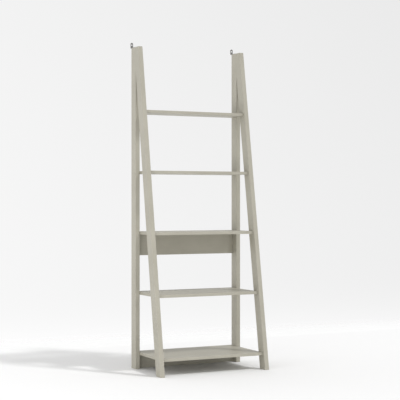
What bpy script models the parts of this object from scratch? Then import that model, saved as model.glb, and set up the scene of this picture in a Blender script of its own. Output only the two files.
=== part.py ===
"""Ladder shelf: two leaning side frames, five shelves that get deeper downwards, two back panels.

Axes: X to the right, Y to the wall behind, Z up. The origin is on the floor, in the middle of the
whole outline. Every length is in metres.
"""

import math

import bmesh
import bpy
from mathutils import Matrix, Vector

# Outline of the wooden frame
FRAME_HEIGHT = 1.780
FRAME_WIDTH = 0.655
FOOT_DEPTH = 0.398
TOP_DEPTH = 0.098

# Sections of the wood
UPRIGHT_THICKNESS = 0.025
POST_DEPTH = 0.060
LEG_DEPTH = 0.060
BOARD_THICKNESS = 0.016
UPRIGHT_EDGE_RADIUS = 0.0015
BOARD_EDGE_RADIUS = 0.0010
EDGE_SEGMENTS = 2

# Shelves and back panels
SHELF_NAMES = ("bottom_shelf", "lower_shelf", "middle_shelf", "upper_shelf", "top_shelf")
BOTTOM_SHELF_TOP = 0.094
SHELF_SPACING = 0.3335
SHELF_SETBACK = 0.013
MIDDLE_PANEL_HEIGHT = 0.118

# Gap between pieces that touch, and how far a cutter starts or runs on outside a piece
GAP = 0.0003
RUN_IN = 0.002
SPARE = 0.004

# Wooden dowels
DOWEL_RADIUS = 0.004
DOWEL_CHAMFER = 0.0008
SHELF_DOWEL_LENGTH = 0.030
SHELF_DOWEL_IN_POST = 0.012
FRAME_DOWEL_LENGTH = 0.040
FRAME_DOWEL_HEIGHTS = {"lower": 1.690, "upper": 1.745}

# Heights of the fastenings in the ends of the back panels, as shares of the panel's height
MIDDLE_PANEL_CAM_SHARE = 0.70
MIDDLE_PANEL_DOWEL_SHARE = 0.30
BOTTOM_PANEL_DOWEL_SHARES = {"lower": 0.27, "upper": 0.73}

# Cam locks and the bolts they pull on
CAM_RADIUS = 0.0075
CAM_HEIGHT = 0.0120
CAM_DISTANCE = 0.034
CAM_SLOT_WIDTH = 0.0080
CAM_SLOT_FLOOR = 0.0038
DRIVE_SLOT_LENGTH = 0.0090
DRIVE_SLOT_WIDTH = 0.0014
DRIVE_SLOT_DEPTH = 0.0015
BOLT_THREAD_RADIUS = 0.0030
BOLT_THREAD_LENGTH = 0.0110
BOLT_COLLAR_RADIUS = 0.0036
BOLT_COLLAR_LENGTH = 0.0040
BOLT_SHANK_RADIUS = 0.0026
BOLT_NECK_RADIUS = 0.0018
BOLT_NECK_LENGTH = 0.0040
BOLT_HEAD_RADIUS = 0.0034
BOLT_HEAD_LENGTH = 0.0028
BOLT_BORE_RADIUS = 0.0040

# Steel wall brackets
BRACKET_REACH = 0.025
BRACKET_LEG_ON_POST = 0.032
BRACKET_HEIGHT = 0.033
BRACKET_WIDTH = 0.015
BRACKET_SHEET = 0.0025
BRACKET_BEND_RADIUS = 0.0020
WALL_HOLE_RADIUS = 0.0040
WALL_HOLE_HEIGHT = 0.0200

# Wood screws that hold the brackets
SCREW_FROM_BACK = 0.018
SCREW_LENGTH = 0.030
SCREW_SHANK_RADIUS = 0.0018
SCREW_HEAD_RADIUS = 0.0038
SCREW_HEAD_HEIGHT = 0.0024
SCREW_POINT_LENGTH = 0.0054
SCREW_SLOT_LENGTH = 0.0044
SCREW_SLOT_WIDTH = 0.0010
SCREW_SLOT_DEPTH = 0.0013

# Domed screw head from its rim to its top, as shares of its radius and height
SCREW_HEAD_DOME = ((1.00, 0.00), (1.00, 0.40), (0.75, 0.85), (0.35, 1.00), (0.00, 1.00))

# Fineness of the round shapes
ROUND_SIDES = 18
SMALL_ROUND_SIDES = 12
BRACKET_TOP_STEPS = 16
BEND_OUTER_STEPS = 5
BEND_INNER_STEPS = 4
MERGE_DISTANCE = 0.00001
FLAT_ANGLE = 0.001
TOUCH_DISTANCE = 0.0001

# Worked out from the sizes above
TOTAL_DEPTH = FOOT_DEPTH + BRACKET_REACH
BACK = TOTAL_DEPTH / 2 - BRACKET_REACH
POST_FRONT = BACK - POST_DEPTH
FOOT_FRONT = BACK - FOOT_DEPTH
SIDE_OUTER = FRAME_WIDTH / 2
SIDE_INNER = SIDE_OUTER - UPRIGHT_THICKNESS
SIDE_MIDDLE = SIDE_OUTER - UPRIGHT_THICKNESS / 2
LEG_SLOPE = (FOOT_DEPTH - TOP_DEPTH) / FRAME_HEIGHT
LEG_DEPTH_LEVEL = LEG_DEPTH * math.hypot(1, LEG_SLOPE)
SIDES = {"left": -1, "right": 1}

PAINT = ((0.365, 0.351, 0.301), 0.45, 0.0)
BEECH = ((0.560, 0.400, 0.230), 0.65, 0.0)
STEEL = ((0.420, 0.420, 0.410), 0.35, 1.0)
ZINC = ((0.560, 0.570, 0.580), 0.40, 1.0)


def leg_front(height):
    """Y of the leg's front edge at a height."""
    return FOOT_FRONT + LEG_SLOPE * height


def leg_middle(height):
    """Y of the leg's centre line at a height."""
    return leg_front(height) + LEG_DEPTH_LEVEL / 2


def shelf_top(level):
    """Height of a shelf's top face; level 0 is the bottom shelf."""
    return BOTTOM_SHELF_TOP + level * SHELF_SPACING


# Scene and collections

def clear_scene():
    for item in list(bpy.data.objects):
        bpy.data.objects.remove(item, do_unlink=True)


def new_collection(name):
    collection = bpy.data.collections.new(name)
    bpy.context.scene.collection.children.link(collection)
    return collection


clear_scene()
PARTS = new_collection("Ladder shelf")
CUTTERS = new_collection("Cutters")


# Building blocks

def add_object(name, mesh, finish):
    """Put a mesh in the parts collection under its own material."""
    colour, roughness, metallic = finish
    material = bpy.data.materials.new(name)
    material.use_nodes = True
    shader = material.node_tree.nodes["Principled BSDF"]
    shader.inputs["Base Color"].default_value = (*colour, 1.0)
    shader.inputs["Roughness"].default_value = roughness
    shader.inputs["Metallic"].default_value = metallic
    mesh.materials.clear()
    mesh.materials.append(material)
    item = bpy.data.objects.new(name, mesh)
    PARTS.objects.link(item)
    return item


def add_cutter(name, mesh):
    """Put a mesh in the cutters collection, hidden from renders."""
    item = bpy.data.objects.new(name, mesh)
    item.hide_render = True
    item.display_type = "WIRE"
    CUTTERS.objects.link(item)
    return item


def box_mesh(name, low, high):
    """A box between two corners."""
    low = Vector(low)
    high = Vector(high)
    place = Matrix.Translation((low + high) / 2) @ Matrix.Diagonal((*(high - low), 1.0))
    shape = bmesh.new()
    bmesh.ops.create_cube(shape, size=1.0, matrix=place)
    mesh = bpy.data.meshes.new(name)
    shape.to_mesh(mesh)
    shape.free()
    return mesh


def along(direction):
    """Rotation that turns +Z to a direction."""
    return Vector((0, 0, 1)).rotation_difference(Vector(direction)).to_matrix().to_4x4()


def rods_mesh(name, rods, sides):
    """Cylinders in one mesh; each rod is (start, direction, length, radius)."""
    shape = bmesh.new()
    for start, direction, length, radius in rods:
        middle = Vector(start) + Vector(direction) * (length / 2)
        bmesh.ops.create_cone(
            shape, cap_ends=True, segments=sides, radius1=radius, radius2=radius, depth=length,
            matrix=Matrix.Translation(middle) @ along(direction))
    mesh = bpy.data.meshes.new(name)
    shape.to_mesh(mesh)
    shape.free()
    return mesh


def outline_mesh(name, points, thickness, turn):
    """A flat outline of straight runs, extruded to a thickness and turned into place."""
    curve = bpy.data.curves.new(name, "CURVE")
    curve.dimensions = "2D"
    curve.fill_mode = "BOTH"
    curve.extrude = thickness / 2
    spline = curve.splines.new("POLY")
    spline.points.add(len(points) - 1)
    for spot, (across, up) in zip(spline.points, points):
        spot.co = (across, up, 0.0, 1.0)
    spline.use_cyclic_u = True
    guide = bpy.data.objects.new(name, curve)
    CUTTERS.objects.link(guide)
    bpy.context.view_layer.update()
    mesh = bpy.data.meshes.new_from_object(guide.evaluated_get(bpy.context.evaluated_depsgraph_get()))
    bpy.data.objects.remove(guide, do_unlink=True)
    shape = bmesh.new()
    shape.from_mesh(mesh)
    bmesh.ops.remove_doubles(shape, verts=shape.verts, dist=MERGE_DISTANCE)
    bmesh.ops.dissolve_limit(shape, angle_limit=FLAT_ANGLE, verts=shape.verts, edges=shape.edges)
    bmesh.ops.transform(shape, matrix=turn, verts=shape.verts)
    bmesh.ops.recalc_face_normals(shape, faces=shape.faces)
    shape.to_mesh(mesh)
    shape.free()
    mesh.name = name
    return mesh


def side_view(x):
    """Placement for an outline drawn in the side view, with Y across and Z up, at X = x."""
    return Matrix.Translation((x, 0, 0)) @ Matrix(((0, 0, 1, 0), (1, 0, 0, 0), (0, 1, 0, 0), (0, 0, 0, 1)))


def front_view(y):
    """Placement for an outline drawn in the front view, with X across and Z up, at Y = y."""
    return Matrix.Translation((0, y, 0)) @ Matrix.Rotation(math.radians(90), 4, "X")


def round_edges(item, radius, sharp=lambda spot: False):
    """Round every edge but those with both ends at a sharp place."""
    mesh = item.data
    weights = mesh.attributes.new("bevel_weight_edge", "FLOAT", "EDGE")
    for edge in mesh.edges:
        ends = [mesh.vertices[index].co for index in edge.vertices]
        weights.data[edge.index].value = 0.0 if all(sharp(end) for end in ends) else 1.0
    bevel = item.modifiers.new("Rounded edges", "BEVEL")
    bevel.width = radius
    bevel.segments = EDGE_SEGMENTS
    bevel.limit_method = "WEIGHT"


def cut(item, cutter, operation="DIFFERENCE"):
    """Cut one piece with a cutter."""
    modifier = item.modifiers.new(cutter.name, "BOOLEAN")
    modifier.operation = operation
    modifier.solver = "EXACT"
    modifier.object = cutter


def drill(item, holes, sides=SMALL_ROUND_SIDES):
    """Drill holes that don't cross; each is (start, direction, depth, radius), started outside."""
    rods = []
    for start, direction, depth, radius in holes:
        outside = Vector(start) - Vector(direction) * RUN_IN
        rods.append((outside, direction, depth + RUN_IN, radius))
    cut(item, add_cutter(item.name + "_holes_" + str(len(item.modifiers)), rods_mesh("holes", rods, sides)))


def turned_piece(name, profile, start, direction, finish, sides):
    """A turned piece: profile runs from one end to the other as (radius, distance along the axis)."""
    mesh = bpy.data.meshes.new(name)
    points = [(radius, 0.0, distance) for radius, distance in reversed(profile)]
    mesh.from_pydata(points, [(i, i + 1) for i in range(len(points) - 1)], [])
    item = add_object(name, mesh, finish)
    item.matrix_world = Matrix.Translation(Vector(start)) @ along(direction)
    screw = item.modifiers.new("Turned", "SCREW")
    screw.steps = sides
    screw.render_steps = sides
    screw.use_merge_vertices = True
    screw.merge_threshold = MERGE_DISTANCE
    screw.use_smooth_shade = False
    return item


# Wooden pieces

def make_post(side):
    """Upright post; its front face takes the leg's top."""
    sign = SIDES[side]
    x_low, x_high = sorted((sign * SIDE_INNER, sign * SIDE_OUTER))
    name = side + "_rear_post"
    post = add_object(name, box_mesh(name, (x_low, POST_FRONT, 0), (x_high, BACK, FRAME_HEIGHT)), PAINT)
    round_edges(post, UPRIGHT_EDGE_RADIUS)
    return post


def make_leg(side):
    """Leaning leg, cut level at the floor and at the top, and upright where it meets the post."""
    sign = SIDES[side]
    back_of_leg = POST_FRONT - GAP
    meeting_height = (back_of_leg - LEG_DEPTH_LEVEL - FOOT_FRONT) / LEG_SLOPE
    points = [
        (FOOT_FRONT, 0.0),
        (FOOT_FRONT + LEG_DEPTH_LEVEL, 0.0),
        (back_of_leg, meeting_height),
        (back_of_leg, FRAME_HEIGHT),
        (leg_front(FRAME_HEIGHT), FRAME_HEIGHT),
    ]
    name = side + "_front_leg"
    mesh = outline_mesh(name, points, UPRIGHT_THICKNESS, side_view(sign * SIDE_MIDDLE))
    leg = add_object(name, mesh, PAINT)
    round_edges(leg, UPRIGHT_EDGE_RADIUS, sharp=lambda spot: spot.y > back_of_leg - TOUCH_DISTANCE)
    return leg


def make_board(name, front, back, bottom, top):
    """Board between the two side frames."""
    reach = SIDE_INNER - GAP
    board = add_object(name, box_mesh(name, (-reach, front, bottom), (reach, back, top)), PAINT)
    round_edges(board, BOARD_EDGE_RADIUS)
    return board


# Fastenings

def make_dowel(name, start, direction, length):
    """Wooden dowel with chamfered ends."""
    profile = [
        (0.0, 0.0),
        (DOWEL_RADIUS - DOWEL_CHAMFER, 0.0),
        (DOWEL_RADIUS, DOWEL_CHAMFER),
        (DOWEL_RADIUS, length - DOWEL_CHAMFER),
        (DOWEL_RADIUS - DOWEL_CHAMFER, length),
        (0.0, length),
    ]
    return turned_piece(name, profile, start, direction, BEECH, SMALL_ROUND_SIDES)


def make_cam_bolt(name, start, direction):
    """Steel bolt: thread in the upright, shank in the board, head in the cam lock."""
    collar_start = BOLT_THREAD_LENGTH
    shank_start = collar_start + BOLT_COLLAR_LENGTH
    head_end = BOLT_THREAD_LENGTH + CAM_DISTANCE + BOLT_HEAD_LENGTH / 2
    head_start = head_end - BOLT_HEAD_LENGTH
    neck_start = head_start - BOLT_NECK_LENGTH
    profile = [
        (0.0, 0.0),
        (BOLT_THREAD_RADIUS, 0.0),
        (BOLT_THREAD_RADIUS, collar_start),
        (BOLT_COLLAR_RADIUS, collar_start + GAP),
        (BOLT_COLLAR_RADIUS, shank_start),
        (BOLT_SHANK_RADIUS, shank_start),
        (BOLT_SHANK_RADIUS, neck_start),
        (BOLT_NECK_RADIUS, neck_start),
        (BOLT_NECK_RADIUS, head_start),
        (BOLT_HEAD_RADIUS, head_start),
        (BOLT_HEAD_RADIUS, head_end),
        (0.0, head_end),
    ]
    return turned_piece(name, profile, start, direction, STEEL, SMALL_ROUND_SIDES)


def make_cam(name, face_centre, inward, bolt_side):
    """Cam lock; inward points into the board, bolt_side points to where its bolt comes from."""
    face_centre = Vector(face_centre)
    inward = Vector(inward)
    bolt_side = Vector(bolt_side)
    cross = inward.cross(bolt_side)
    mesh = rods_mesh(name, [(face_centre, inward, CAM_HEIGHT, CAM_RADIUS)], ROUND_SIDES)
    cam = add_object(name, mesh, ZINC)
    axes = Matrix((bolt_side, cross, inward)).transposed().to_4x4()
    frame = Matrix.Translation(face_centre) @ axes
    slots = {
        "_bolt_slot": ((-CAM_SLOT_WIDTH / 2, -CAM_SLOT_WIDTH / 2, CAM_SLOT_FLOOR),
                       (CAM_RADIUS * 2, CAM_SLOT_WIDTH / 2, CAM_HEIGHT * 2)),
        "_drive_slot_a": ((-DRIVE_SLOT_LENGTH / 2, -DRIVE_SLOT_WIDTH / 2, -DRIVE_SLOT_DEPTH),
                          (DRIVE_SLOT_LENGTH / 2, DRIVE_SLOT_WIDTH / 2, DRIVE_SLOT_DEPTH)),
        "_drive_slot_b": ((-DRIVE_SLOT_WIDTH / 2, -DRIVE_SLOT_LENGTH / 2, -DRIVE_SLOT_DEPTH),
                          (DRIVE_SLOT_WIDTH / 2, DRIVE_SLOT_LENGTH / 2, DRIVE_SLOT_DEPTH)),
    }
    for ending, (low, high) in slots.items():
        slot_mesh = box_mesh(name + ending, low, high)
        slot_mesh.transform(frame)
        cut(cam, add_cutter(name + ending, slot_mesh))
    return cam


def dowel_joint(name, face, into_post):
    """Dowel between a post and a board, from a point on the post's inner face; gives both holes."""
    face = Vector(face)
    into_post = Vector(into_post)
    radius = DOWEL_RADIUS + GAP
    in_board = SHELF_DOWEL_LENGTH - SHELF_DOWEL_IN_POST
    make_dowel(name, face + into_post * SHELF_DOWEL_IN_POST, -into_post, SHELF_DOWEL_LENGTH)
    post_hole = (face, into_post, SHELF_DOWEL_IN_POST + GAP, radius)
    board_hole = (face, -into_post, in_board + GAP, radius)
    return post_hole, board_hole


def cam_joint(name, face, into_upright, into_board):
    """Cam lock and bolt, from a point on the upright's inner face; gives both holes and the pocket."""
    face = Vector(face)
    into_upright = Vector(into_upright)
    into_board = Vector(into_board)
    make_cam_bolt(name + "_cam_bolt", face + into_upright * BOLT_THREAD_LENGTH, -into_upright)
    cam_centre = face - into_upright * CAM_DISTANCE - into_board * (BOARD_THICKNESS / 2)
    make_cam(name + "_cam_lock", cam_centre, into_board, into_upright)
    upright_hole = (face, into_upright, BOLT_THREAD_LENGTH + GAP, BOLT_THREAD_RADIUS + GAP)
    board_hole = (face, -into_upright, CAM_DISTANCE, BOLT_BORE_RADIUS)
    pocket = (cam_centre, into_board, CAM_HEIGHT + GAP, CAM_RADIUS + GAP)
    return upright_hole, board_hole, pocket


# Wall brackets

def arc(centre, radius, first, last, steps):
    """Points on an arc between two angles in degrees."""
    angles = [math.radians(first + (last - first) * step / steps) for step in range(steps + 1)]
    return [(centre[0] + radius * math.cos(a), centre[1] + radius * math.sin(a)) for a in angles]


def make_bracket(side):
    """Bent steel strip: one leg lies on the post, the other stands against the wall."""
    x = SIDES[side] * SIDE_MIDDLE
    name = side + "_wall_bracket"
    base = FRAME_HEIGHT + GAP
    top = FRAME_HEIGHT + BRACKET_HEIGHT
    wall_face = BACK + BRACKET_REACH
    front_end = BACK - BRACKET_LEG_ON_POST
    outer_radius = BRACKET_BEND_RADIUS + BRACKET_SHEET
    bend = (wall_face - outer_radius, base + outer_radius)
    profile = [(front_end, base)]
    profile += arc(bend, outer_radius, -90, 0, BEND_OUTER_STEPS)
    profile += [(wall_face, top + SPARE), (wall_face - BRACKET_SHEET, top + SPARE)]
    profile += arc(bend, BRACKET_BEND_RADIUS, 0, -90, BEND_INNER_STEPS)
    profile += [(front_end, base + BRACKET_SHEET)]
    strip = outline_mesh(name, profile, BRACKET_WIDTH + SPARE, side_view(x))
    bracket = add_object(name, strip, STEEL)
    half = BRACKET_WIDTH / 2
    outline = [(x - half, base - SPARE), (x + half, base - SPARE)]
    outline += arc((x, top - half), half, 0, 180, BRACKET_TOP_STEPS)
    long_enough = 2 * (BRACKET_LEG_ON_POST + BRACKET_REACH + SPARE)
    shape = outline_mesh(name + "_outline", outline, long_enough, front_view(BACK))
    cut(bracket, add_cutter(name + "_outline", shape), "INTERSECT")
    wall_hole = ((x, wall_face, FRAME_HEIGHT + WALL_HOLE_HEIGHT), (0, -1, 0), SPARE, WALL_HOLE_RADIUS)
    screw_hole = ((x, BACK - SCREW_FROM_BACK, base), (0, 0, 1), SPARE, SCREW_SHANK_RADIUS + GAP)
    drill(bracket, [wall_hole, screw_hole], ROUND_SIDES)
    return bracket


def make_bracket_screw(side):
    """Wood screw with a low domed head and a cross slot, down into the post's top end."""
    name = side + "_wall_bracket_screw"
    x = SIDES[side] * SIDE_MIDDLE
    head_under = FRAME_HEIGHT + GAP + BRACKET_SHEET + GAP
    tip = (x, BACK - SCREW_FROM_BACK, head_under - SCREW_LENGTH)
    profile = [(0.0, 0.0), (SCREW_SHANK_RADIUS, SCREW_POINT_LENGTH), (SCREW_SHANK_RADIUS, SCREW_LENGTH)]
    for out, up in SCREW_HEAD_DOME:
        profile.append((out * SCREW_HEAD_RADIUS, SCREW_LENGTH + up * SCREW_HEAD_HEIGHT))
    screw = turned_piece(name, profile, tip, (0, 0, 1), ZINC, SMALL_ROUND_SIDES)
    top = head_under + SCREW_HEAD_HEIGHT
    long = SCREW_SLOT_LENGTH / 2
    wide = SCREW_SLOT_WIDTH / 2
    for ending, half_x, half_y in (("_slot_a", long, wide), ("_slot_b", wide, long)):
        low = (x - half_x, tip[1] - half_y, top - SCREW_SLOT_DEPTH)
        high = (x + half_x, tip[1] + half_y, top + RUN_IN)
        cut(screw, add_cutter(name + ending, box_mesh(name + ending, low, high)))
    return (x, BACK - SCREW_FROM_BACK, FRAME_HEIGHT), (0, 0, -1), SCREW_LENGTH, SCREW_SHANK_RADIUS + GAP


# Assembly

def build_frames():
    """Posts and legs with the dowels between them; gives the pieces and the holes still to drill."""
    posts = {side: make_post(side) for side in SIDES}
    legs = {side: make_leg(side) for side in SIDES}
    holes = {item.name: [] for item in (*posts.values(), *legs.values())}
    half = FRAME_DOWEL_LENGTH / 2
    radius = DOWEL_RADIUS + GAP
    for side, sign in SIDES.items():
        x = sign * SIDE_MIDDLE
        for place, height in FRAME_DOWEL_HEIGHTS.items():
            name = side + "_frame_dowel_" + place
            make_dowel(name, (x, POST_FRONT + half, height), (0, -1, 0), FRAME_DOWEL_LENGTH)
            holes[posts[side].name].append(((x, POST_FRONT, height), (0, 1, 0), half + GAP, radius))
            holes[legs[side].name].append(((x, POST_FRONT, height), (0, -1, 0), half + GAP, radius))
        make_bracket(side)
        holes[posts[side].name].append(make_bracket_screw(side))
    return posts, legs, holes


def build_shelves(posts, legs, holes):
    """Five shelves; at each end a cam joint holds the leg and a dowel holds the post."""
    for level, name in enumerate(SHELF_NAMES):
        top = shelf_top(level)
        middle = top - BOARD_THICKNESS / 2
        board = make_board(name, leg_front(top) + SHELF_SETBACK, BACK, top - BOARD_THICKNESS, top)
        bores = []
        pockets = []
        for side, sign in SIDES.items():
            outward = (sign, 0, 0)
            at_post = (sign * SIDE_INNER, BACK - POST_DEPTH / 2, middle)
            at_leg = (sign * SIDE_INNER, leg_middle(middle), middle)
            post_hole, dowel_bore = dowel_joint(name + "_" + side + "_dowel", at_post, outward)
            leg_hole, bolt_bore, pocket = cam_joint(name + "_" + side, at_leg, outward, (0, 0, 1))
            holes[posts[side].name].append(post_hole)
            holes[legs[side].name].append(leg_hole)
            bores += [dowel_bore, bolt_bore]
            pockets.append(pocket)
        drill(board, bores)
        drill(board, pockets, ROUND_SIDES)


def build_middle_panel(posts, holes):
    """Back panel under the middle shelf, with a cam joint and a dowel at each end."""
    name = "middle_back_panel"
    shelf_under = shelf_top(SHELF_NAMES.index("middle_shelf")) - BOARD_THICKNESS
    bottom = shelf_under - MIDDLE_PANEL_HEIGHT
    panel = make_board(name, BACK - BOARD_THICKNESS, BACK, bottom, shelf_under - GAP)
    y = BACK - BOARD_THICKNESS / 2
    bores = []
    pockets = []
    for side, sign in SIDES.items():
        outward = (sign, 0, 0)
        at_cam = (sign * SIDE_INNER, y, bottom + MIDDLE_PANEL_CAM_SHARE * MIDDLE_PANEL_HEIGHT)
        at_dowel = (sign * SIDE_INNER, y, bottom + MIDDLE_PANEL_DOWEL_SHARE * MIDDLE_PANEL_HEIGHT)
        bolt_hole, bolt_bore, pocket = cam_joint(name + "_" + side, at_cam, outward, (0, -1, 0))
        post_hole, dowel_bore = dowel_joint(name + "_" + side + "_dowel", at_dowel, outward)
        holes[posts[side].name] += [bolt_hole, post_hole]
        bores += [bolt_bore, dowel_bore]
        pockets.append(pocket)
    drill(panel, bores)
    drill(panel, pockets, ROUND_SIDES)


def build_bottom_panel(posts, holes):
    """Back panel from the floor to the bottom shelf, with two dowels at each end."""
    name = "bottom_back_panel"
    height = shelf_top(0) - BOARD_THICKNESS - GAP
    panel = make_board(name, BACK - BOARD_THICKNESS, BACK, 0, height)
    bores = []
    for side, sign in SIDES.items():
        for place, share in BOTTOM_PANEL_DOWEL_SHARES.items():
            face = (sign * SIDE_INNER, BACK - BOARD_THICKNESS / 2, share * height)
            post_hole, bore = dowel_joint(name + "_" + side + "_dowel_" + place, face, (sign, 0, 0))
            holes[posts[side].name].append(post_hole)
            bores.append(bore)
    drill(panel, bores)


def build_ladder_shelf():
    posts, legs, holes = build_frames()
    build_shelves(posts, legs, holes)
    build_middle_panel(posts, holes)
    build_bottom_panel(posts, holes)
    for item in (*posts.values(), *legs.values()):
        drill(item, holes[item.name])


build_ladder_shelf()
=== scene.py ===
"""Looks for the ladder shelf: painted boards, steel brackets, cam fittings and a pale studio.

Every length is in metres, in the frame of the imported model: X to the right, Y to the wall, Z up.
"""

import math

import bmesh
import bpy
from mathutils import Matrix, Vector


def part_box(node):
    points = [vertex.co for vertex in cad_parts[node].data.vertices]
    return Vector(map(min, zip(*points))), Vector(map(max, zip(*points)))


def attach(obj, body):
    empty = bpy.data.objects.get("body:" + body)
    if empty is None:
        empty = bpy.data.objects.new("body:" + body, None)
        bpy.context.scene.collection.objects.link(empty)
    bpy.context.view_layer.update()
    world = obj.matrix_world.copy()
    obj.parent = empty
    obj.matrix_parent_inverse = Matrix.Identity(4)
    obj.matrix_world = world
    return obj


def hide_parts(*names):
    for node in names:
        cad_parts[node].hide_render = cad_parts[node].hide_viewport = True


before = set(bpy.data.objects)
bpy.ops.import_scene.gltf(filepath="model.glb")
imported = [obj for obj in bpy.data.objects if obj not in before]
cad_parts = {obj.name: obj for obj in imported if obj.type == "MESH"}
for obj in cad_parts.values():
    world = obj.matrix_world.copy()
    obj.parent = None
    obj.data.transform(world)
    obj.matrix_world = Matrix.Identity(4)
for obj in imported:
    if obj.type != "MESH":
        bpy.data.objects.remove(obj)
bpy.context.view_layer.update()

BODY = "root"
SIDES = ("left", "right")
SHELVES = ("bottom_shelf", "lower_shelf", "middle_shelf", "upper_shelf", "top_shelf")
PANELS = ("middle_back_panel", "bottom_back_panel")
NODES = sorted(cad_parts)
AXES = range(3)
X, Y, Z = AXES

# The leaning legs: cut level at both ends, upright where they meet the posts
FRAME_HEIGHT = 1.780
FOOT_DEPTH = 0.398
TOP_DEPTH = 0.098
LEG_DEPTH = 0.060
LEG_SLOPE = (FOOT_DEPTH - TOP_DEPTH) / FRAME_HEIGHT
LEG_DEPTH_LEVEL = LEG_DEPTH * math.hypot(1, LEG_SLOPE)
FOOT_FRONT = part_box("left_rear_post")[1].y - FOOT_DEPTH
MEETING_HEIGHT = (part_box("left_front_leg")[1].y - LEG_DEPTH_LEVEL - FOOT_FRONT) / LEG_SLOPE

# Rounding of the painted edges, and how far wear reaches in from them
UPRIGHT_RADIUS = 0.0015
BOARD_RADIUS = 0.0010
MATING_RADIUS = 0.0003
MATING_RUN = 0.012
ROUND_STEPS = 3
WEAR_LAYER = "edge"
WEAR_REACH = 0.0035

# Rings along a bar: equal steps along a board, and a fixed spacing from the floor on an upright
BOARD_STEPS = 4
UPRIGHT_RINGS = 4
POST_RING_STEP = 0.45
LEG_RING_STEP = 0.40
MERGE_DISTANCE = 0.000005

# No inset on any side of a ring
FLUSH = (0.0, 0.0, 0.0, 0.0)

# Holes for the fastenings
HOLE_CLEARANCE = 0.0002
POCKET_MOUTH = 0.002
INSIDE = 0.001
HOLE_SIDES = 28
POCKET_SIDES = 40

# Wooden dowels
DOWEL_FLUTES = 18
DOWEL_FLUTE_DEPTH = 0.00025
DOWEL_CHAMFER = 0.0008

# Turned pieces and their threads: rows in a pitch, steepness of a ridge, share left at a point
TURNED_SIDES = 36
TURNED_SOFTENING = 0.0003
THREAD_STEPS = 6
THREAD_FLANK = 3.2
THREAD_POINT = 0.15

# Cam bolts, from the threaded end to the head
BOLT_THREAD_RADIUS = 0.0030
BOLT_CORE_RADIUS = 0.0022
BOLT_TIP_SHARE = 0.8
BOLT_THREAD_LENGTH = 0.0110
BOLT_PITCH = 0.0016
BOLT_COLLAR_RADIUS = 0.0036
BOLT_COLLAR_LENGTH = 0.0040
BOLT_SHANK_RADIUS = 0.0026
BOLT_NECK_RADIUS = 0.0018
BOLT_NECK_LENGTH = 0.0040
BOLT_HEAD_RADIUS = 0.0034
BOLT_HEAD_LENGTH = 0.0028
BOLT_SHOULDER = 0.00003
BOLT_NOSE = 0.0009

# Cam locks. Groove: inner, middle and outer radius, and depth. Cross: length, width and depth.
# Arrow: tip, base, half width and depth.
CAM_RIM = 0.0004
CAM_SLOT_WIDTH = 0.0080
CAM_SLOT_FLOOR = 0.0038
CAM_GROOVE = (0.0056, 0.0060, 0.0064, 0.00025)
CAM_CROSS = (0.0088, 0.0014, 0.0016)
CAM_ARROW = (0.0069, 0.0057, 0.0010, 0.0005)

# Bracket screws. Cross: length, width and depth.
SCREW_THREAD_RADIUS = 0.0018
SCREW_CORE_RADIUS = 0.0012
SCREW_PITCH = 0.0014
SCREW_TIP_LENGTH = 0.0050
SCREW_HEAD_RADIUS = 0.0038
SCREW_HEAD_HEIGHT = 0.0024
SCREW_HEAD_UNDERCUT = 0.0002
SCREW_HEAD_RIM = 0.0005
SCREW_DOME_STEPS = 7
SCREW_DOME_FULLNESS = 0.6
SCREW_DOME_TOP = 0.12
SCREW_NECK_PITCHES = 3
SCREW_CROSS = (0.0044, 0.0009, 0.0013)

# Wall brackets
BRACKET_SHEET = 0.0025
BRACKET_BEND_RADIUS = 0.0020
BRACKET_ROUNDING = 0.0004
BEND_STEPS = 10
WALL_HOLE_RADIUS = 0.0040
WALL_HOLE_HEIGHT = 0.0200
SCREW_HOLE_RADIUS = 0.0021

# How far the bracket's strip is drawn past its outline, and how far that outline cuts
SPARE = 0.004
CUT_REACH = 1.0

# Shading
SHARP_ANGLE = math.radians(40)
NORMAL_WEIGHT = 100
BEVEL_SEGMENTS = 2
NO_TURN = (0.0, 0.0, 0.0)


# Node-based materials

# Sockets of a Mix node that mixes colours
MIX_SHARE = 0
MIX_FIRST = 6
MIX_SECOND = 7
MIX_RESULT = 2


class Nodes:
    """A node tree with short ways to add nodes and to link or set their inputs."""

    def __init__(self, tree):
        self.tree = tree

    def set(self, socket, value):
        if isinstance(value, bpy.types.NodeSocket):
            self.tree.links.new(value, socket)
        else:
            socket.default_value = value

    def add(self, kind, settings=None, **inputs):
        node = self.tree.nodes.new(kind)
        for key, value in (settings or {}).items():
            setattr(node, key, value)
        for key, value in inputs.items():
            self.set(node.inputs[key.replace("_", " ")], value)
        return node

    def math(self, operation, first, second):
        node = self.add("ShaderNodeMath", {"operation": operation})
        self.set(node.inputs[0], first)
        self.set(node.inputs[1], second)
        return node.outputs[0]

    def dot(self, first, second):
        node = self.add("ShaderNodeVectorMath", {"operation": "DOT_PRODUCT"})
        self.set(node.inputs[0], first)
        self.set(node.inputs[1], second)
        return node.outputs["Value"]


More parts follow.
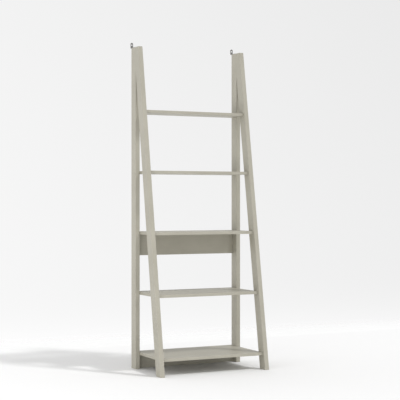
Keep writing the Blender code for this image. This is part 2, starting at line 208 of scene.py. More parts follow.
class Shader(Nodes):
    """A material, its surface shader and the place of each point in the piece's own frame."""

    def __init__(self, name):
        self.material = bpy.data.materials.new(name)
        self.material.use_nodes = True
        super().__init__(self.material.node_tree)
        self.surface = self.tree.nodes["Principled BSDF"]
        self.place = self.add("ShaderNodeTexCoord").outputs["Object"]

    def give(self, name, value):
        """Link or set an input of the surface shader."""
        self.set(self.surface.inputs[name], value)

    def turned(self, vector, rotation, scale):
        """Coordinates turned first and stretched afterwards."""
        turn = self.add("ShaderNodeMapping", Vector=vector, Rotation=rotation)
        return self.add("ShaderNodeMapping", Vector=turn.outputs[0], Scale=scale).outputs[0]

    def noise(self, vector, scale, detail, roughness):
        node = self.add(
            "ShaderNodeTexNoise", Vector=vector, Scale=scale, Detail=detail, Roughness=roughness)
        return node.outputs["Fac"]

    def ramp(self, value, low, high, first=0.0, last=1.0):
        """Carry a value from one range over to another, smoothly and within its limits."""
        node = self.add(
            "ShaderNodeMapRange", {"interpolation_type": "SMOOTHSTEP"},
            Value=value, From_Min=low, From_Max=high, To_Min=first, To_Max=last)
        return node.outputs["Result"]

    def blend(self, share, first, second):
        node = self.add("ShaderNodeMix", {"data_type": "RGBA"})
        self.set(node.inputs[MIX_SHARE], share)
        self.set(node.inputs[MIX_FIRST], first)
        self.set(node.inputs[MIX_SECOND], second)
        return node.outputs[MIX_RESULT]

    def bump(self, height, strength, distance, under=None):
        node = self.add("ShaderNodeBump", Height=height, Strength=strength, Distance=distance)
        if under is not None:
            self.set(node.inputs["Normal"], under)
        return node.outputs["Normal"]


# In every material: a noise is (scale, detail, roughness), a range is (low, high), a relief is
# (strength, height), and a stretch is smallest along the lines that it draws.

PAINT_DEEP = (0.381, 0.362, 0.301, 1.0)
PAINT_PALE = (0.416, 0.397, 0.333, 1.0)
PAINT_RUBBED = (0.462, 0.445, 0.383, 1.0)
PAINT_CLOUDS = (7.0, 3.0, 0.55)
PAINT_GRAIN = (330.0, 4.0, 0.62)
PAINT_GRAIN_STRETCH = (0.03, 1.0, 1.0)
PAINT_ROLLER = (620.0, 2.0, 0.55)
PAINT_SPECKS = (150.0, 3.0, 0.6)
PAINT_SPECK_RANGE = (0.45, 0.72)
PAINT_TONE_RANGE = (0.36, 0.64)
PAINT_CLOUD_SHARE = 0.6
PAINT_GRAIN_SHARE = 0.4
PAINT_RUBBED_SHARE = 0.6
PAINT_ROUGHNESS = 0.37
PAINT_ROUGHNESS_CHANGE = 0.10
PAINT_SPECULAR = 0.38
PAINT_GRAIN_RELIEF = (0.35, 0.0003)
PAINT_ROLLER_RELIEF = (0.30, 0.0003)


def painted_board(name, rotation):
    """Satin paint, rolled on; the faint grain under it runs along X after the rotation."""
    paint = Shader(name)
    clouds = paint.noise(paint.place, *PAINT_CLOUDS)
    grain = paint.noise(paint.turned(paint.place, rotation, PAINT_GRAIN_STRETCH), *PAINT_GRAIN)
    roller = paint.noise(paint.place, *PAINT_ROLLER)
    specks = paint.noise(paint.place, *PAINT_SPECKS)
    worn = paint.add("ShaderNodeAttribute", {"attribute_name": WEAR_LAYER}).outputs["Fac"]
    rubbed = paint.math("MULTIPLY", worn, paint.ramp(specks, *PAINT_SPECK_RANGE))

    cloud_tone = paint.math("MULTIPLY", clouds, PAINT_CLOUD_SHARE)
    tone = paint.math("ADD", cloud_tone, paint.math("MULTIPLY", grain, PAINT_GRAIN_SHARE))
    colour = paint.blend(paint.ramp(tone, *PAINT_TONE_RANGE), PAINT_DEEP, PAINT_PALE)
    rubbed_share = paint.math("MULTIPLY", rubbed, PAINT_RUBBED_SHARE)
    paint.give("Base Color", paint.blend(rubbed_share, colour, PAINT_RUBBED))

    grain_marks = paint.math("MULTIPLY", grain, PAINT_ROUGHNESS_CHANGE)
    roller_marks = paint.math("MULTIPLY", roller, PAINT_ROUGHNESS_CHANGE)
    polish = paint.math("MULTIPLY", rubbed, PAINT_ROUGHNESS_CHANGE)
    rough = paint.math("ADD", PAINT_ROUGHNESS, paint.math("ADD", grain_marks, roller_marks))
    paint.give("Roughness", paint.math("SUBTRACT", rough, polish))
    paint.give("Specular IOR Level", PAINT_SPECULAR)

    relief = paint.bump(grain, *PAINT_GRAIN_RELIEF)
    paint.give("Normal", paint.bump(roller, *PAINT_ROLLER_RELIEF, relief))
    return paint.material


# Each metal: colour, roughness, stretch of its working marks, and how uneven its tone is
METALS = {
    "cam_zinc": ((0.53, 0.54, 0.55), 0.42, (1.0, 1.0, 1.0), 0.14),
    "bolt_steel": ((0.60, 0.58, 0.52), 0.30, (1.0, 0.05, 0.05), 0.10),
    "screw_steel": ((0.58, 0.57, 0.54), 0.28, (1.0, 1.0, 0.05), 0.10),
    "bracket_steel": ((0.25, 0.245, 0.235), 0.40, (1.0, 0.04, 0.04), 0.16),
}
METAL_LINES = (2600.0, 3.0, 0.6)
METAL_CLOUDS = (190.0, 4.0, 0.6)
METAL_CLOUD_RANGE = (0.32, 0.68)
METAL_CLOUD_ROUGHNESS = 0.16
METAL_LINE_ROUGHNESS = 0.10
METAL_MEAN_ROUGHNESS = (METAL_CLOUD_ROUGHNESS + METAL_LINE_ROUGHNESS) / 2
METAL_RELIEF = (0.25, 0.00006)


def worked_metal(name, colour, roughness, stretch, unevenness):
    """Metal with rolling or casting marks, cloudy plating and a changing roughness."""
    metal = Shader(name)
    lines = metal.noise(metal.turned(metal.place, NO_TURN, stretch), *METAL_LINES)
    clouds = metal.noise(metal.place, *METAL_CLOUDS)
    deep = (*(channel * (1.0 - unevenness) for channel in colour), 1.0)
    pale = (*(channel * (1.0 + unevenness) for channel in colour), 1.0)
    metal.give("Base Color", metal.blend(metal.ramp(clouds, *METAL_CLOUD_RANGE), deep, pale))
    metal.give("Metallic", 1.0)
    cloud_marks = metal.math("MULTIPLY", clouds, METAL_CLOUD_ROUGHNESS)
    marks = metal.math("ADD", cloud_marks, metal.math("MULTIPLY", lines, METAL_LINE_ROUGHNESS))
    metal.give("Roughness", metal.math("ADD", roughness - METAL_MEAN_ROUGHNESS, marks))
    metal.give("Normal", metal.bump(lines, *METAL_RELIEF))
    return metal.material


BEECH_DEEP = (0.50, 0.34, 0.19, 1.0)
BEECH_PALE = (0.63, 0.46, 0.28, 1.0)
BEECH_FLECK = (0.30, 0.18, 0.09, 1.0)
BEECH_GRAIN = (900.0, 4.0, 0.6)
BEECH_GRAIN_RANGE = (0.3, 0.7)
BEECH_FLECKS = (2600.0, 1.0, 0.5)
BEECH_FLECK_RANGE = (0.60, 0.72)
BEECH_FLECK_SHARE = 0.6
BEECH_ROUGHNESS_RANGE = (0.72, 0.58)
BEECH_RELIEF = (0.4, 0.0002)
ALONG_X = (0.05, 1.0, 1.0)
ALONG_Y = (1.0, 0.05, 1.0)


def bare_beech(name, stretch):
    """Unpainted beech: long pale grain with short dark flecks."""
    beech = Shader(name)
    along = beech.turned(beech.place, NO_TURN, stretch)
    grain = beech.noise(along, *BEECH_GRAIN)
    flecks = beech.noise(along, *BEECH_FLECKS)
    wood = beech.blend(beech.ramp(grain, *BEECH_GRAIN_RANGE), BEECH_DEEP, BEECH_PALE)
    fleck_share = beech.ramp(flecks, *BEECH_FLECK_RANGE, 0.0, BEECH_FLECK_SHARE)
    beech.give("Base Color", beech.blend(fleck_share, wood, BEECH_FLECK))
    beech.give("Roughness", beech.ramp(grain, *BEECH_GRAIN_RANGE, *BEECH_ROUGHNESS_RANGE))
    beech.give("Normal", beech.bump(grain, *BEECH_RELIEF))
    return beech.material


# Shapes

def rounded_rectangle(outer, insets, radii):
    """Points round a rectangle, each with its wear: 1 on a rounded corner, 0 on a flat side."""
    low_a, high_a, low_b, high_b = outer
    in_low_a, in_high_a, in_low_b, in_high_b = insets
    corners = (
        (high_a, in_high_a, -1, high_b, in_high_b, -1, 0),
        (low_a, in_low_a, 1, high_b, in_high_b, -1, 90),
        (low_a, in_low_a, 1, low_b, in_low_b, 1, 180),
        (high_a, in_high_a, -1, low_b, in_low_b, 1, 270),
    )
    points = []
    for (a, in_a, way_a, b, in_b, way_b, start), radius in zip(corners, radii):
        side_a = a + way_a * in_a
        side_b = b + way_b * in_b
        left = max(radius - max(in_a, in_b), 0.0)
        wear = 1.0 if radius > MATING_RADIUS else 0.0
        on_a = (side_a, b + way_b * (radius + WEAR_REACH), 0.0)
        on_b = (a + way_a * (radius + WEAR_REACH), side_b, 0.0)
        points.append(on_a if start in (0, 180) else on_b)
        for step in range(ROUND_STEPS + 1):
            angle = math.radians(start + 90 * step / ROUND_STEPS)
            across = side_a + way_a * left + left * math.cos(angle)
            up = side_b + way_b * left + left * math.sin(angle)
            points.append((across, up, wear))
        points.append(on_b if start in (0, 180) else on_a)
    return points


def end_inset(radius, depth):
    """How far a rounded end stands in from its side at a depth below the end face."""
    return radius - math.sqrt(max(radius ** 2 - max(radius - depth, 0.0) ** 2, 0.0))


def loft(rings):
    """Join rings of (x, y, z, wear) into a closed mesh."""
    shape = bmesh.new()
    mark = shape.verts.layers.float.new(WEAR_LAYER)
    rows = []
    for ring in rings:
        row = []
        for x, y, z, wear in ring:
            vert = shape.verts.new((x, y, z))
            vert[mark] = wear
            row.append(vert)
        rows.append(row)
    count = len(rows[0])
    for lower, upper in zip(rows, rows[1:]):
        for i in range(count):
            j = (i + 1) % count
            shape.faces.new((lower[i], lower[j], upper[j], upper[i]))
    shape.faces.new(list(reversed(rows[0])))
    shape.faces.new(rows[-1])
    bmesh.ops.remove_doubles(shape, verts=shape.verts, dist=MERGE_DISTANCE)
    bmesh.ops.dissolve_degenerate(shape, edges=shape.edges, dist=MERGE_DISTANCE)
    mesh = bpy.data.meshes.new("bar")
    shape.to_mesh(mesh)
    shape.free()
    return mesh


def rounded_end(level, way, ends):
    """Stations of a rounded end, from the middle of its face inwards."""
    deepest = max(ends)
    stations = [(level, tuple(end + WEAR_REACH for end in ends), 0.0)]
    for step in range(ROUND_STEPS + 1):
        depth = deepest * (1 - math.cos(math.radians(90 * step / ROUND_STEPS)))
        stations.append((level + way * depth, tuple(end_inset(end, depth) for end in ends), 1.0))
    stations.append((level + way * (deepest + WEAR_REACH), FLUSH, None))
    return stations


def bar(levels, outer_at, corners_at, ends, order):
    """A bar with rounded edges, lofted through rectangles along its length.

    outer_at and corners_at give the rectangle and its corner radii at a level. ends holds, for each
    end, the rounding of its four sides. order turns (across, up, level) into (x, y, z).
    """
    stations = rounded_end(levels[0], 1, ends[0])
    stations += [(level, FLUSH, None) for level in levels[1:-1]]
    stations += reversed(rounded_end(levels[-1], -1, ends[1]))
    rings = []
    for index, (level, insets, wear) in enumerate(stations):
        outer = outer_at(level)
        points = rounded_rectangle(outer, insets, corners_at(level))
        if index in (0, len(stations) - 1):
            points = [cap_corner(outer, insets, across, up) for across, up, own in points]
        rings.append([
            (*order(across, up, level), own if wear is None else wear) for across, up, own in points])
    return loft(rings)


def cap_corner(outer, insets, across, up):
    """The nearest corner of the flat middle of an end face."""
    low_a, high_a, low_b, high_b = outer
    near_a = low_a + insets[0] if across < (low_a + high_a) / 2 else high_a - insets[1]
    near_b = low_b + insets[2] if up < (low_b + high_b) / 2 else high_b - insets[3]
    return near_a, near_b, 0.0


def upright_order(across, up, level):
    """A bar along Z."""
    return across, up, level


def board_order(across, up, level):
    """A bar along X."""
    return level, across, up


def cylinder(start, end, radius, sides):
    """A capped cylinder between two points, as a mesh for cutting."""
    start = Vector(start)
    end = Vector(end)
    turn = Vector((0, 0, 1)).rotation_difference(end - start).to_matrix().to_4x4()
    shape = bmesh.new()
    bmesh.ops.create_cone(
        shape, cap_ends=True, segments=sides, radius1=radius, radius2=radius,
        depth=(end - start).length, matrix=Matrix.Translation((start + end) / 2) @ turn)
    mesh = bpy.data.meshes.new("cutter")
    shape.to_mesh(mesh)
    shape.free()
    return mesh


def joined(meshes):
    """Several cutters as one mesh."""
    shape = bmesh.new()
    for mesh in meshes:
        shape.from_mesh(mesh)
    whole = bpy.data.meshes.new("cutter")
    shape.to_mesh(whole)
    shape.free()
    return whole


def link(item):
    """Put an object into the scene."""
    bpy.context.scene.collection.objects.link(item)


def combine(mesh, cutter_mesh, operation="DIFFERENCE"):
    """What a boolean with the cutter leaves of a mesh, as a new mesh."""
    item = bpy.data.objects.new("work", mesh)
    cutter = bpy.data.objects.new("cutter", cutter_mesh)
    for thing in (item, cutter):
        link(thing)
    modifier = item.modifiers.new("Cut", "BOOLEAN")
    modifier.operation = operation
    modifier.solver = "EXACT"
    modifier.object = cutter
    bpy.context.view_layer.update()
    evaluated = item.evaluated_get(bpy.context.evaluated_depsgraph_get())
    result = bpy.data.meshes.new_from_object(evaluated)
    for thing in (item, cutter):
        bpy.data.objects.remove(thing, do_unlink=True)
    return result


def shade(mesh):
    """Smooth shading with sharp edges kept where faces meet at a wide angle."""
    shape = bmesh.new()
    shape.from_mesh(mesh)
    for face in shape.faces:
        face.smooth = True
    for edge in shape.edges:
        edge.smooth = edge.is_manifold and edge.calc_face_angle() < SHARP_ANGLE
    shape.to_mesh(mesh)
    shape.free()


def add_piece(name, mesh, material, node, rounding=0.0):
    """Show a mesh in place of its CAD node, riding on the same body.

    A rounding softens every sharp edge by that much; without one, sharp edges stay sharp.
    """
    shade(mesh)
    mesh.name = name
    mesh.materials.clear()
    mesh.materials.append(material)
    item = bpy.data.objects.new(name, mesh)
    link(item)
    if rounding:
        soft = item.modifiers.new("Softened edges", "BEVEL")
        soft.width = rounding
        soft.segments = BEVEL_SEGMENTS
        soft.limit_method = "ANGLE"
        soft.angle_limit = SHARP_ANGLE
    normals = item.modifiers.new("Even normals", "WEIGHTED_NORMAL")
    normals.weight = NORMAL_WEIGHT
    normals.keep_sharp = not rounding
    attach(item, BODY)
    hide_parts(node)


# Painted boards and uprights, drilled for their fastenings

def bores():
    """The straight hole of each dowel, bolt and screw as (start, end, radius)."""
    found = []
    for node in NODES:
        low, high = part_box(node)
        middle = (low + high) / 2
        if node.endswith("_screw"):
            axis = Z
            radius = SCREW_CORE_RADIUS + HOLE_CLEARANCE
        elif "_dowel" in node or node.endswith("_cam_bolt"):
            axis = Y if "frame_dowel" in node else X
            radius = (high.z - low.z) / 2 + HOLE_CLEARANCE
        else:
            continue
        start = middle.copy()
        end = middle.copy()
        start[axis] = low[axis] - HOLE_CLEARANCE
        end[axis] = high[axis] + HOLE_CLEARANCE
        found.append((start, end, radius))
    return found


BORES = bores()


def holes_in(low, high):
    """Cutters for the bores that enter a box, as one mesh."""
    found = []
    for start, end, radius in BORES:
        enters = [end[i] > low[i] + INSIDE and start[i] < high[i] - INSIDE for i in AXES]
        if all(enters):
            found.append(cylinder(start, end, radius, HOLE_SIDES))
    return joined(found)


def pockets_in(board):
    """Cutters for the cam locks of a board, open at the face they sit in, or None."""
    found = []
    for side in SIDES:
        node = board + "_" + side + "_cam_lock"
        if node not in NODES:
            continue
        low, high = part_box(node)
        centre = (low + high) / 2
        mouth = centre.copy()
        floor = centre.copy()
        radius = (high.x - low.x) / 2 + HOLE_CLEARANCE
        if board in PANELS:
            mouth.y = high.y + POCKET_MOUTH
            floor.y = low.y - HOLE_CLEARANCE
        else:
            mouth.z = low.z - POCKET_MOUTH
            floor.z = high.z + HOLE_CLEARANCE
        found.append(cylinder(mouth, floor, radius, POCKET_SIDES))
    return joined(found) if found else None


def make_board(name, material):
    """A shelf or a back panel, with its drilled ends and its cam pockets."""
    low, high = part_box(name)
    levels = [low.x + (high.x - low.x) * step / BOARD_STEPS for step in range(BOARD_STEPS + 1)]
    outer = (low.y, high.y, low.z, high.z)
    radii = (BOARD_RADIUS,) * 4
    mesh = bar(levels, lambda level: outer, lambda level: radii, (radii, radii), board_order)
    for cutter in (pockets_in(name), holes_in(low, high)):
        if cutter is not None:
            mesh = combine(mesh, cutter)
    add_piece(name + "_painted", mesh, material, name)


def make_upright(name, ring_step, outer_at, joined_radii, top_end, material):
    """A post or a leg: fully rounded up to the joint, and nearly sharp where the two touch."""
    low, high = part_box(name)
    plain = (UPRIGHT_RADIUS,) * 4

    def corners_at(level):
        return joined_radii if level >= MEETING_HEIGHT else plain

    levels = [low.z + ring_step * ring for ring in range(UPRIGHT_RINGS)]
    levels += [MEETING_HEIGHT - MATING_RUN, MEETING_HEIGHT, high.z]
    mesh = bar(levels, outer_at, corners_at, (plain, top_end), upright_order)
    mesh = combine(mesh, holes_in(low, high))
    add_piece(name + "_painted", mesh, material, name)


def make_post(side, material):
    """Upright post. Its front corners are nearly sharp where the leg lies against it."""
    name = side + "_rear_post"
    low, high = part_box(name)
    outer = (low.x, high.x, low.y, high.y)
    joined_radii = (UPRIGHT_RADIUS, UPRIGHT_RADIUS, MATING_RADIUS, MATING_RADIUS)
    top_end = (UPRIGHT_RADIUS, UPRIGHT_RADIUS, MATING_RADIUS, UPRIGHT_RADIUS)
    make_upright(name, POST_RING_STEP, lambda level: outer, joined_radii, top_end, material)


def make_leg(side, material):
    """Leaning leg, as deep as its slope makes it, down to the upright cut that meets the post."""
    name = side + "_front_leg"
    low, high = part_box(name)

    def outer_at(level):
        front = FOOT_FRONT + LEG_SLOPE * level
        return low.x, high.x, front, min(front + LEG_DEPTH_LEVEL, high.y)

    joined_radii = (MATING_RADIUS, MATING_RADIUS, UPRIGHT_RADIUS, UPRIGHT_RADIUS)
    top_end = (UPRIGHT_RADIUS, UPRIGHT_RADIUS, UPRIGHT_RADIUS, MATING_RADIUS)
    make_upright(name, LEG_RING_STEP, outer_at, joined_radii, top_end, material)


# Fastenings

def spun(rows, place):
    """A closed mesh from rings round local Z. Each row is (level, radii), a radius for each side."""
    shape = bmesh.new()
    rings = []
    for level, radii in rows:
        count = len(radii)
        ring = []
        for i, radius in enumerate(radii):
            angle = 2 * math.pi * i / count
            ring.append(shape.verts.new((radius * math.cos(angle), radius * math.sin(angle), level)))
        rings.append(ring)
    for lower, upper in zip(rings, rings[1:]):
        for i in range(count):
            j = (i + 1) % count
            shape.faces.new((lower[i], lower[j], upper[j], upper[i]))
    shape.faces.new(list(reversed(rings[0])))
    shape.faces.new(rings[-1])
    bmesh.ops.transform(shape, matrix=place, verts=shape.verts)
    mesh = bpy.data.meshes.new("turned")
    shape.to_mesh(mesh)
    shape.free()
    return mesh


def even(level, radius, sides):
    """A row of spun with the same radius all round."""
    return level, [radius] * sides


def thread_rows(start, end, core, crest, pitch, sides, tip=0.0):
    """Rows of a screw thread that runs out at both ends; tip is the length of its point."""
    rows = []
    count = round((end - start) / pitch * THREAD_STEPS)
    for step in range(count + 1):
        level = start + (end - start) * step / count
        run_out = min(1.0, (end - level) / pitch, (level - start) / pitch)
        taper = 1.0
        if tip:
            taper = min(1.0, THREAD_POINT + (1.0 - THREAD_POINT) * (level - start) / tip)
        radii = []
        for i in range(sides):
            turn = (level / pitch - i / sides) % 1.0
            ridge = max(0.0, 1.0 - abs(turn - 0.5) * THREAD_FLANK)
            radii.append(taper * (core + (crest - core) * ridge * run_out))
        rows.append((level, radii))
    return rows


def axis_place(start, direction):
    """Placement that puts local Z along a direction from a start point."""
    turn = Vector((0, 0, 1)).rotation_difference(Vector(direction)).to_matrix().to_4x4()
    return Matrix.Translation(Vector(start)) @ turn


def make_dowel(node, material):
    """Fluted dowel with chamfered ends."""
    low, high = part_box(node)
    middle = (low + high) / 2
    axis = Y if "frame_dowel" in node else X
    length = high[axis] - low[axis]
    radius = (high.z - low.z) / 2
    start = middle.copy()
    start[axis] = low[axis]
    direction = (0, 1, 0) if axis == Y else (1, 0, 0)
    sides = 2 * DOWEL_FLUTES
    fluted = [radius - DOWEL_FLUTE_DEPTH * (i % 2) for i in range(sides)]
    rows = [
        even(0.0, radius - DOWEL_CHAMFER, sides),
        (DOWEL_CHAMFER, fluted),
        (length - DOWEL_CHAMFER, fluted),
        even(length, radius - DOWEL_CHAMFER, sides),
    ]
    mesh = spun(rows, axis_place(start, direction))
    add_piece(node + "_fluted", mesh, material, node)


def make_cam_bolt(node, material):
    """Cam bolt: a threaded end in the leg, a collar, a shank, and a necked head in the cam lock."""
    low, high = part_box(node)
    middle = (low + high) / 2
    outward = 1 if middle.x > 0 else -1
    tip_x = high.x if outward > 0 else low.x
    length = high.x - low.x
    sides = TURNED_SIDES
    head_start = length - BOLT_HEAD_LENGTH
    neck_start = head_start - BOLT_NECK_LENGTH
    collar_end = BOLT_THREAD_LENGTH + BOLT_COLLAR_LENGTH
    soft = TURNED_SOFTENING
    rows = [even(0.0, BOLT_CORE_RADIUS * BOLT_TIP_SHARE, sides)]
    rows += thread_rows(
        soft, BOLT_THREAD_LENGTH - soft, BOLT_CORE_RADIUS, BOLT_THREAD_RADIUS, BOLT_PITCH, sides)
    profile = [
        (BOLT_THREAD_LENGTH, BOLT_COLLAR_RADIUS - soft),
        (BOLT_THREAD_LENGTH + soft, BOLT_COLLAR_RADIUS),
        (collar_end - soft, BOLT_COLLAR_RADIUS),
        (collar_end, BOLT_COLLAR_RADIUS - soft),
        (collar_end + BOLT_SHOULDER, BOLT_SHANK_RADIUS),
        (neck_start - soft, BOLT_SHANK_RADIUS),
        (neck_start, BOLT_NECK_RADIUS),
        (head_start, BOLT_NECK_RADIUS),
        (head_start + BOLT_SHOULDER, BOLT_HEAD_RADIUS - soft),
        (head_start + soft, BOLT_HEAD_RADIUS),
        (length - BOLT_NOSE, BOLT_HEAD_RADIUS),
        (length, BOLT_HEAD_RADIUS - BOLT_NOSE),
    ]
    rows += [even(level, radius, sides) for level, radius in profile]
    place = axis_place((tip_x, middle.y, middle.z), (-outward, 0, 0))
    mesh = spun(rows, place)
    add_piece(node + "_threaded", mesh, material, node)


def block(low, high, place):
    """A box between two corners, moved to its place, for cutting."""
    low = Vector(low)
    high = Vector(high)
    shape = bmesh.new()
    local = Matrix.Translation((low + high) / 2) @ Matrix.Diagonal((*(high - low), 1.0))
    bmesh.ops.create_cube(shape, size=1.0, matrix=place @ local)
    mesh = bpy.data.meshes.new("cutter")
    shape.to_mesh(mesh)
    shape.free()
    return mesh


def prism(outline, low, high, place):
    """A closed prism between two levels of local Z from a flat outline, counter-clockwise."""
    shape = bmesh.new()
    bottom = [shape.verts.new((x, y, low)) for x, y in outline]
    top = [shape.verts.new((x, y, high)) for x, y in outline]
    count = len(outline)
    for i in range(count):
        j = (i + 1) % count
        shape.faces.new((bottom[i], bottom[j], top[j], top[i]))
    shape.faces.new(list(reversed(bottom)))
    shape.faces.new(top)
    bmesh.ops.transform(shape, matrix=place, verts=shape.verts)
    bmesh.ops.recalc_face_normals(shape, faces=shape.faces)
    mesh = bpy.data.meshes.new("prism")
    shape.to_mesh(mesh)
    shape.free()
    return mesh


def make_cam(node, material):
    """Cam lock: a turned body with a grooved face, a cross recess, an arrow and the bolt's slot."""
    low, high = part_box(node)
    middle = (low + high) / 2
    upright = Vector((1 if middle.x > 0 else -1, 0, 0))
    in_panel = node.startswith(PANELS[0])
    inward = Vector((0, -1, 0)) if in_panel else Vector((0, 0, 1))
    face = Vector((middle.x, high.y, middle.z)) if in_panel else Vector((middle.x, middle.y, low.z))
    radius = (high.x - low.x) / 2
    height = high.y - low.y if in_panel else high.z - low.z
    axes = Matrix((upright, inward.cross(upright), inward)).transposed().to_4x4()
    place = Matrix.Translation(face) @ axes
    sides = TURNED_SIDES
    in_low, in_middle, in_high, depth = CAM_GROOVE
    profile = [
        (0.0, in_low),
        (depth, in_middle),
        (0.0, in_high),
        (0.0, radius - CAM_RIM),
        (CAM_RIM, radius),
        (height - CAM_RIM, radius),
        (height, radius - CAM_RIM),
    ]
    mesh = spun([even(level, reach, sides) for level, reach in profile], place)
    long, wide, deep = CAM_CROSS
    tip, base, half, sunk = CAM_ARROW
    arrow = [(base, -half), (tip, 0.0), (base, half)]
    cutters = [
        block((-CAM_SLOT_WIDTH / 2, -CAM_SLOT_WIDTH / 2, CAM_SLOT_FLOOR),
              (2 * radius, CAM_SLOT_WIDTH / 2, 2 * height), place),
        block((-long / 2, -wide / 2, -deep), (long / 2, wide / 2, deep), place),
        block((-wide / 2, -long / 2, -deep), (wide / 2, long / 2, deep), place),
        prism(arrow, -sunk, sunk, place),
    ]
    for cutter in cutters:
        mesh = combine(mesh, cutter)
    add_piece(node + "_cast", mesh, material, node)


# Wall brackets

# Where a prism's X, Y and Z go: to Y, Z and X in the side view, to X, Z and -Y in the front view
SIDE_VIEW = Matrix(((0, 0, 1, 0), (1, 0, 0, 0), (0, 1, 0, 0), (0, 0, 0, 1)))
FRONT_VIEW = Matrix(((1, 0, 0, 0), (0, 0, -1, 0), (0, 1, 0, 0), (0, 0, 0, 1)))


def arc(centre, radius, first, last, steps):
    """Points on an arc between two angles in degrees."""
    angles = [math.radians(first + (last - first) * step / steps) for step in range(steps + 1)]
    return [(centre[0] + radius * math.cos(a), centre[1] + radius * math.sin(a)) for a in angles]


def make_bracket(side, material):
    """Bent steel strip with a rounded top, softened along every cut edge."""
    node = side + "_wall_bracket"
    low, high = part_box(node)
    x = (low.x + high.x) / 2
    half = (high.x - low.x) / 2
    outer = BRACKET_BEND_RADIUS + BRACKET_SHEET
    bend = (high.y - outer, low.z + outer)
    profile = [(low.y, low.z)]
    profile += arc(bend, outer, -90, 0, BEND_STEPS)
    profile += [(high.y, high.z + SPARE), (high.y - BRACKET_SHEET, high.z + SPARE)]
    profile += arc(bend, BRACKET_BEND_RADIUS, 0, -90, BEND_STEPS)
    profile.append((low.y, low.z + BRACKET_SHEET))
    strip = prism(profile, x - half - SPARE, x + half + SPARE, SIDE_VIEW)
    outline = [(x - half, low.z - SPARE), (x + half, low.z - SPARE)]
    outline += arc((x, high.z - half), half, 0, 180, 2 * BEND_STEPS)
    mesh = combine(strip, prism(outline, -CUT_REACH, CUT_REACH, FRONT_VIEW), "INTERSECT")
    hole_z = FRAME_HEIGHT + WALL_HOLE_HEIGHT
    through = cylinder(
        (x, high.y - SPARE, hole_z), (x, high.y + SPARE, hole_z), WALL_HOLE_RADIUS, TURNED_SIDES)
    screw_low, screw_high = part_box(side + "_wall_bracket_screw")
    screw_x, screw_y = ((screw_low + screw_high) / 2).xy
    down = cylinder(
        (screw_x, screw_y, low.z - SPARE), (screw_x, screw_y, low.z + SPARE),
        SCREW_HOLE_RADIUS, TURNED_SIDES)
    mesh = combine(mesh, joined([through, down]))
    add_piece(node + "_bent", mesh, material, node, BRACKET_ROUNDING)


def make_screw(side, material):
    """Wood screw with a point, a thread, a plain neck, a domed head and a cross recess."""
    node = side + "_wall_bracket_screw"
    low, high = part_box(node)
    middle = (low + high) / 2
    length = high.z - low.z - SCREW_HEAD_HEIGHT
    sides = TURNED_SIDES
    neck = length - SCREW_NECK_PITCHES * SCREW_PITCH
    rows = thread_rows(
        0.0, neck, SCREW_CORE_RADIUS, SCREW_THREAD_RADIUS, SCREW_PITCH, sides, SCREW_TIP_LENGTH)
    rows.append(even(length, SCREW_CORE_RADIUS, sides))
    rows.append(even(length, SCREW_HEAD_RADIUS - SCREW_HEAD_UNDERCUT, sides))
    rise = SCREW_HEAD_HEIGHT - SCREW_HEAD_RIM
    for step in range(SCREW_DOME_STEPS):
        angle = math.radians(90 * step / SCREW_DOME_STEPS)
        level = length + SCREW_HEAD_RIM + rise * math.sin(angle)
        rows.append(even(level, SCREW_HEAD_RADIUS * math.cos(angle) ** SCREW_DOME_FULLNESS, sides))
    top = length + SCREW_HEAD_HEIGHT
    rows.append(even(top, SCREW_HEAD_RADIUS * SCREW_DOME_TOP, sides))
    place = Matrix.Translation((middle.x, middle.y, low.z))
    mesh = spun(rows, place)
    long, wide, deep = SCREW_CROSS
    for half_x, half_y in ((long / 2, wide / 2), (wide / 2, long / 2)):
        cutter = block((-half_x, -half_y, top - deep), (half_x, half_y, top + deep), place)
        mesh = combine(mesh, cutter)
    add_piece(node + "_turned", mesh, material, node)


# Assembly

def build_model():
    """Every visible piece, each in place of its CAD node."""
    quarter = math.radians(90)
    board_paint = painted_board("board_paint", NO_TURN)
    post_paint = painted_board("post_paint", (0.0, quarter, 0.0))
    leg_paint = painted_board("leg_paint", (math.atan(LEG_SLOPE), quarter, 0.0))
    for name in (*SHELVES, *PANELS):
        make_board(name, board_paint)
    metals = {name: worked_metal(name, *look) for name, look in METALS.items()}
    across_beech = bare_beech("dowel_beech_across", ALONG_X)
    deep_beech = bare_beech("dowel_beech_deep", ALONG_Y)
    for side in SIDES:
        make_post(side, post_paint)
        make_leg(side, leg_paint)
        make_bracket(side, metals["bracket_steel"])
        make_screw(side, metals["screw_steel"])
    for node in NODES:
        if node.endswith("_cam_bolt"):
            make_cam_bolt(node, metals["bolt_steel"])
        elif node.endswith("_cam_lock"):
            make_cam(node, metals["cam_zinc"])
        elif "frame_dowel" in node:
            make_dowel(node, deep_beech)
        elif "_dowel" in node:
            make_dowel(node, across_beech)


# Studio

# A level camera with a long lens, at the front left
CAMERA_PLACE = (-2.7597, -5.6053, 0.9349)
CAMERA_TURN = (math.radians(90), 0.0, math.radians(-26.265))
CAMERA_REACH = 100.0
LENS = 101.38
SENSOR = 36.0

# The floor: a painted highlight makes it paler behind a line, standing in for light caught where a
# backdrop bends up; it fades out behind the shelf and round its rim
FLOOR_RADIUS = 9.0
FLOOR_SIDES = 96
FLOOR_RIM_FADE = 4.0
FLOOR_BACK = 1.75
FLOOR_BACK_FADE = 0.65
FLOOR_REAR = 1.06
FLOOR_REAR_FADE = 0.04
FLOOR_COLOUR = (0.908, 0.908, 0.908, 1.0)
FLOOR_PAINTED_HIGHLIGHT = (0.930, 0.930, 0.930, 1.0)
FLOOR_ROUGHNESS = 0.9
FLOOR_SPECULAR = 0.1

# Light from all round: a level, its change along X, Y and Z, and a glow under a tilted horizon
SKY_LEVEL = 0.877
SKY_SLOPE = (-0.158, 0.090, -0.155)
GLOW_LEVEL = 0.09
GLOW_UP = (0.0, 0.138, 0.990)
GLOW_REACH = 0.062
GLOW_POWER = 3.0

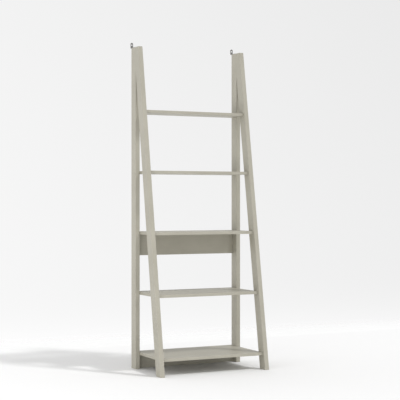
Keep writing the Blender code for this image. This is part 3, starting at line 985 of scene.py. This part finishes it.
# A soft sun, and a low softbox
KEY_AZIMUTH = math.radians(40.5)
KEY_ELEVATION = math.radians(52)
KEY_STRENGTH = 1.21
KEY_SPREAD = math.radians(6.5)
FILL_PLACE = Vector((-2.4, -1.9, 0.30))
FILL_AIM = Vector((0.0, 0.0, 0.05))
FILL_SIZE = (2.0, 0.4)
FILL_POWER = 17


def add_camera():
    """The camera, at the photo's angle."""
    data = bpy.data.cameras.new("Camera")
    data.lens = LENS
    data.sensor_width = SENSOR
    data.clip_end = CAMERA_REACH
    camera = bpy.data.objects.new("Camera", data)
    camera.location = CAMERA_PLACE
    camera.rotation_euler = CAMERA_TURN
    link(camera)
    bpy.context.scene.camera = camera


def add_floor():
    """A pale floor that fades out into the surroundings behind the shelf and far away."""
    shape = bmesh.new()
    bmesh.ops.create_circle(shape, cap_ends=True, radius=FLOOR_RADIUS, segments=FLOOR_SIDES)
    mesh = bpy.data.meshes.new("floor")
    shape.to_mesh(mesh)
    shape.free()
    shader = Shader("floor_pale")
    shader.give("Roughness", FLOOR_ROUGHNESS)
    shader.give("Specular IOR Level", FLOOR_SPECULAR)
    depth = shader.add("ShaderNodeSeparateXYZ", Vector=shader.place).outputs["Y"]
    distance = shader.add("ShaderNodeVectorMath", {"operation": "LENGTH"}, Vector=shader.place)
    # Painted highlight: the floor turns paler behind a line, in place of the lit foot of a backdrop
    rear = shader.ramp(depth, FLOOR_REAR, FLOOR_REAR + FLOOR_REAR_FADE)
    shader.give("Base Color", shader.blend(rear, FLOOR_COLOUR, FLOOR_PAINTED_HIGHLIGHT))
    behind = shader.ramp(depth, FLOOR_BACK - FLOOR_BACK_FADE, FLOOR_BACK, 1.0, 0.0)
    around = shader.ramp(
        distance.outputs["Value"], FLOOR_RADIUS - FLOOR_RIM_FADE, FLOOR_RADIUS, 1.0, 0.0)
    shader.give("Alpha", shader.math("MULTIPLY", behind, around))
    mesh.materials.append(shader.material)
    floor = bpy.data.objects.new("floor", mesh)
    link(floor)


def add_surroundings():
    """Pale light from everywhere, stronger from the left and from below, with a glow low down."""
    world = bpy.data.worlds.new("Surroundings")
    world.use_nodes = True
    sky = Nodes(world.node_tree)
    direction = sky.add("ShaderNodeTexCoord").outputs["Generated"]
    height = sky.dot(direction, GLOW_UP)
    lowness = sky.add("ShaderNodeMapRange", Value=height, From_Min=GLOW_REACH, From_Max=0.0)
    glow = sky.math("POWER", lowness.outputs["Result"], GLOW_POWER)
    level = sky.math("ADD", SKY_LEVEL, sky.math("MULTIPLY", glow, GLOW_LEVEL))
    colour = sky.math("ADD", level, sky.dot(direction, SKY_SLOPE))
    sky.set(world.node_tree.nodes["Background"].inputs["Color"], colour)
    bpy.context.scene.world = world


def add_key_light():
    """A soft sun from the front right."""
    light = bpy.data.lights.new("Key", "SUN")
    light.energy = KEY_STRENGTH
    light.angle = KEY_SPREAD
    item = bpy.data.objects.new("Key", light)
    item.rotation_euler = (math.radians(90) - KEY_ELEVATION, 0.0, KEY_AZIMUTH)
    link(item)


def add_low_fill():
    """A long low softbox at the front left, for the lower shelves."""
    light = bpy.data.lights.new("Fill", "AREA")
    light.shape = "RECTANGLE"
    light.size, light.size_y = FILL_SIZE
    light.energy = FILL_POWER
    item = bpy.data.objects.new("Fill", light)
    item.location = FILL_PLACE
    item.rotation_euler = (FILL_AIM - FILL_PLACE).to_track_quat("-Z", "Y").to_euler()
    item.visible_camera = False
    link(item)


build_model()
add_camera()
add_floor()
add_surroundings()
add_key_light()
add_low_fill()
bpy.context.scene.view_settings.view_transform = "Standard"
